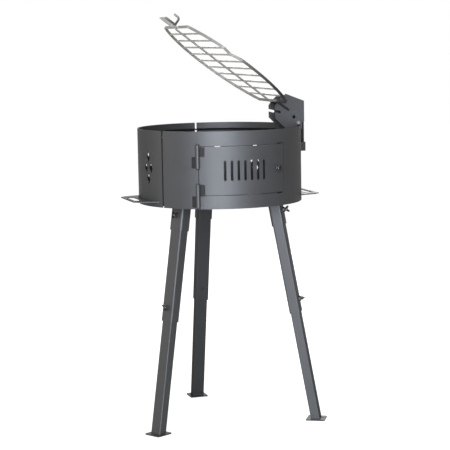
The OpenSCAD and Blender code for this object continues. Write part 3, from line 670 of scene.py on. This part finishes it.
def rodLines():
    # the place of every cross rod and its two ends, read from the carried-over node
    shape = bmesh.new()
    shape.from_mesh(frame["nodes"]["grate_rods"].data)
    bmesh.ops.remove_doubles(shape, verts=shape.verts, dist=grateWeld["rodMerge"])
    left, lines = set(shape.verts), []
    while left:
        rod, edge = set(), [next(iter(left))]
        while edge:
            vert = edge.pop()
            if vert not in rod:
                rod.add(vert)
                edge += [e.other_vert(vert) for e in vert.link_edges]
        left -= rod
        spans = [(min(v.co[axis] for v in rod), max(v.co[axis] for v in rod)) for axis in range(3)]
        lines.append((sum(spans[0]) / 2, sum(spans[2]) / 2, spans[1]))
    shape.free()
    return sorted(lines)


def addBlob(shape, centre, size):
    blob = bmesh.ops.create_icosphere(shape, subdivisions=grateWeld["blobLevel"],
                                      radius=1)["verts"]
    digits = grateWeld["digits"]
    blob.sort(key=lambda v: (round(v.co.z, digits), round(v.co.y, digits), round(v.co.x, digits)))
    for i, vert in enumerate(blob):
        vert.co *= 1 + grateWeld["lump"] * math.sin(i * grateWeld["lumpStep"])
    bmesh.ops.transform(shape, verts=blob,
                        matrix=Matrix.Translation(centre) @ Matrix.Diagonal((*size, 1)))


def makeGrateWelds():
    # a blob of weld at both ends of each rod and one where it lies on the spine
    values = grateWeld
    shape = bmesh.new()
    lines = rodLines()
    slope = math.atan2(lines[0][1] - lines[-1][1], lines[-1][0] - lines[0][0])
    under = Vector((-math.sin(slope), 0, -math.cos(slope))) * values["under"]
    for x, z, ends in lines:
        for end, way in zip(ends, (1, -1)):
            addBlob(shape, (x, end + way * values["into"], z), values["rodSize"])
        if ends[0] < 0 < ends[1]:
            addBlob(shape, Vector((x, 0, z)) + under, values["spineSize"])
    finishPiece(shape, "grateWelds", "grate", (barSteel,), values["smoothAngle"])


makeGrateWelds()
print("welds made")


def whiteShare(tree, place, whiteRange):
    # 1 where the white shows: to the camera everywhere, and to metal only behind the object
    turn = math.radians(shot["turn"])
    depth = addNode(tree, "ShaderNodeVectorMath",
                    {"operation": "DOT_PRODUCT", 1: (math.sin(turn), math.cos(turn), 0)},
                    {0: place})
    behind = addNode(tree, "ShaderNodeMapRange",
                     {"interpolation_type": "SMOOTHSTEP", "From Min": whiteRange[0],
                      "From Max": whiteRange[1]}, {"Value": depth.outputs["Value"]})
    rays = addNode(tree, "ShaderNodeLightPath")
    bent = addNode(tree, "ShaderNodeMath", {"operation": "MAXIMUM"},
                   {0: rays.outputs["Is Glossy Ray"], 1: rays.outputs["Is Transmission Ray"]})
    shown = addNode(tree, "ShaderNodeMath", {"operation": "MULTIPLY"},
                    {0: bent.outputs[0], 1: behind.outputs["Result"]})
    seen = addNode(tree, "ShaderNodeMath", {"operation": "MAXIMUM"},
                   {0: rays.outputs["Is Camera Ray"], 1: shown.outputs[0]})
    return seen.outputs[0]


def makeStage():
    # a pale floor that keeps the object's shadow
    material, tree = newMaterial("paleFloor")
    diffuse = addNode(tree, "ShaderNodeBsdfDiffuse", {"Color": toLinear(room["floorHex"])})
    glow = addNode(tree, "ShaderNodeEmission", {"Strength": room["floorGlow"]})
    both = addNode(tree, "ShaderNodeAddShader", {},
                   {0: diffuse.outputs["BSDF"], 1: glow.outputs["Emission"]})
    place = addNode(tree, "ShaderNodeTexCoord").outputs["Object"]
    mix = addNode(tree, "ShaderNodeMixShader", {},
                  {0: whiteShare(tree, place, room["floorWhite"]), 1: diffuse.outputs["BSDF"],
                   2: both.outputs["Shader"]})
    addNode(tree, "ShaderNodeOutputMaterial", {}, {"Surface": mix.outputs["Shader"]})
    shape = bmesh.new()
    bmesh.ops.create_grid(shape, x_segments=1, y_segments=1, size=room["floorHalf"])
    mesh = bpy.data.meshes.new("floor")
    shape.to_mesh(mesh)
    shape.free()
    mesh.materials.append(material)
    floor = bpy.data.objects.new("floor", mesh)
    scene.collection.objects.link(floor)


def makeWorld():
    world = bpy.data.worlds.new("room")
    scene.world = world
    world.use_nodes = True
    tree = world.node_tree
    tree.nodes.clear()
    light = addNode(tree, "ShaderNodeBackground",
                    {"Color": toLinear(room["worldHex"]), "Strength": room["worldLevel"]})
    seen = addNode(tree, "ShaderNodeBackground",
                   {"Color": toLinear(room["backdropHex"]), "Strength": 1.0})
    place = addNode(tree, "ShaderNodeTexCoord").outputs["Generated"]
    mix = addNode(tree, "ShaderNodeMixShader", {},
                  {0: whiteShare(tree, place, room["worldWhite"]), 1: light.outputs[0],
                   2: seen.outputs[0]})
    addNode(tree, "ShaderNodeOutputWorld", {}, {"Surface": mix.outputs[0]})


def makeLamps():
    aim = Vector((0, 0, aimHeight))
    for name, lamp in lamps.items():
        data = bpy.data.lights.new(name, "AREA")
        data.shape = "DISK"
        data.size = lamp["size"]
        data.energy = lamp["watts"]
        data.color = toLinear(lamp["hex"])[:3]
        turn, rise = math.radians(lamp["turn"]), math.radians(lamp["rise"])
        away = Vector((-math.sin(turn) * math.cos(rise), -math.cos(turn) * math.cos(rise),
                       math.sin(rise)))
        thing = bpy.data.objects.new(name, data)
        thing.location = aim + away * lamp["away"]
        thing.rotation_euler = away.to_track_quat("Z", "Y").to_euler()
        scene.collection.objects.link(thing)


def makeCamera():
    data = bpy.data.cameras.new("camera")
    data.lens = shot["lens"]
    data.sensor_width = shot["sensor"]
    data.clip_end = shot["clipEnd"]
    thing = bpy.data.objects.new("camera", data)
    turn = math.radians(shot["turn"])
    thing.location = (-math.sin(turn) * shot["distance"], -math.cos(turn) * shot["distance"],
                      shot["height"])
    look = (Matrix.Rotation(-math.radians(shot["heading"]), 3, "Z")
            @ Matrix.Rotation(math.radians(90 - shot["pitch"]), 3, "X")
            @ Matrix.Rotation(math.radians(shot["roll"]), 3, "Z"))
    thing.rotation_euler = look.to_euler()
    scene.collection.objects.link(thing)
    scene.camera = thing


makeStage()
makeWorld()
makeLamps()
makeCamera()
print("stage, lamps and camera set")
